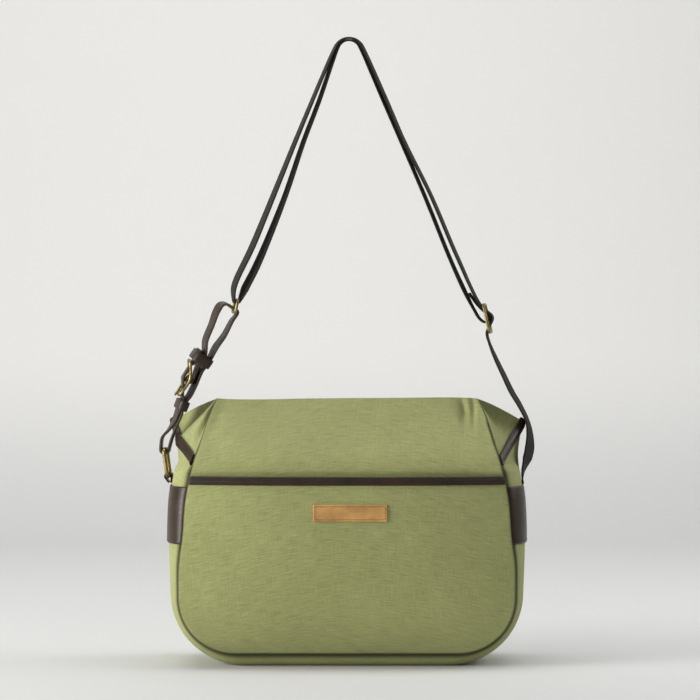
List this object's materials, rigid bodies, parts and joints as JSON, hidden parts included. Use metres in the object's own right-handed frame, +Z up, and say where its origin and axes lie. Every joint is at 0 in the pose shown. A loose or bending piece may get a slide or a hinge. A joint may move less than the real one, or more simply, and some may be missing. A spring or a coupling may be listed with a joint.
{
  "type": "canvas shoulder bag",
  "caption": "Soft canvas shoulder bag with a gusseted body, an open front pocket with a leather edge and label, and a doubled webbing strap with a leather belt at one end.",
  "frame": {"origin": "the underside of the strap's top, where the bag hangs, at the middle of the webbing's width", "axes": "+Z up, the front with the pocket and label faces -Y, and +X is to the right as seen from the front, towards the slider"},
  "size_m": [0.3756, 0.1497, 0.6258],
  "materials": {
    "canvas": "olive green cotton canvas in a fine plain weave, matt",
    "dark_leather": "dark brown smooth leather, low sheen, stitched edges",
    "tan_leather": "natural tan leather, matt, with a stitched border",
    "brass": "aged solid brass, satin",
    "webbing": "dark brown cotton webbing in a herringbone weave, matt"
  },
  "bodies": {
    "root": {"front_panel": "canvas", "back_panel": "canvas", "gusset": "canvas", "top_end_left": "canvas", "top_end_right": "canvas", "front_pocket": "canvas", "pocket_trim": "dark_leather", "label": "tan_leather", "side_patch_left": "dark_leather", "side_patch_right": "dark_leather", "end_trim_left": "dark_leather", "end_trim_right": "dark_leather", "belt": "dark_leather", "buckle_prong": "brass", "belt_buckle": "brass", "upper_keeper": "dark_leather", "lower_keeper": "dark_leather", "side_ring": "brass", "strap_ring": "brass", "ring_tab": "dark_leather", "strap": "webbing", "slider": "brass"}
  },
  "joints": []
}
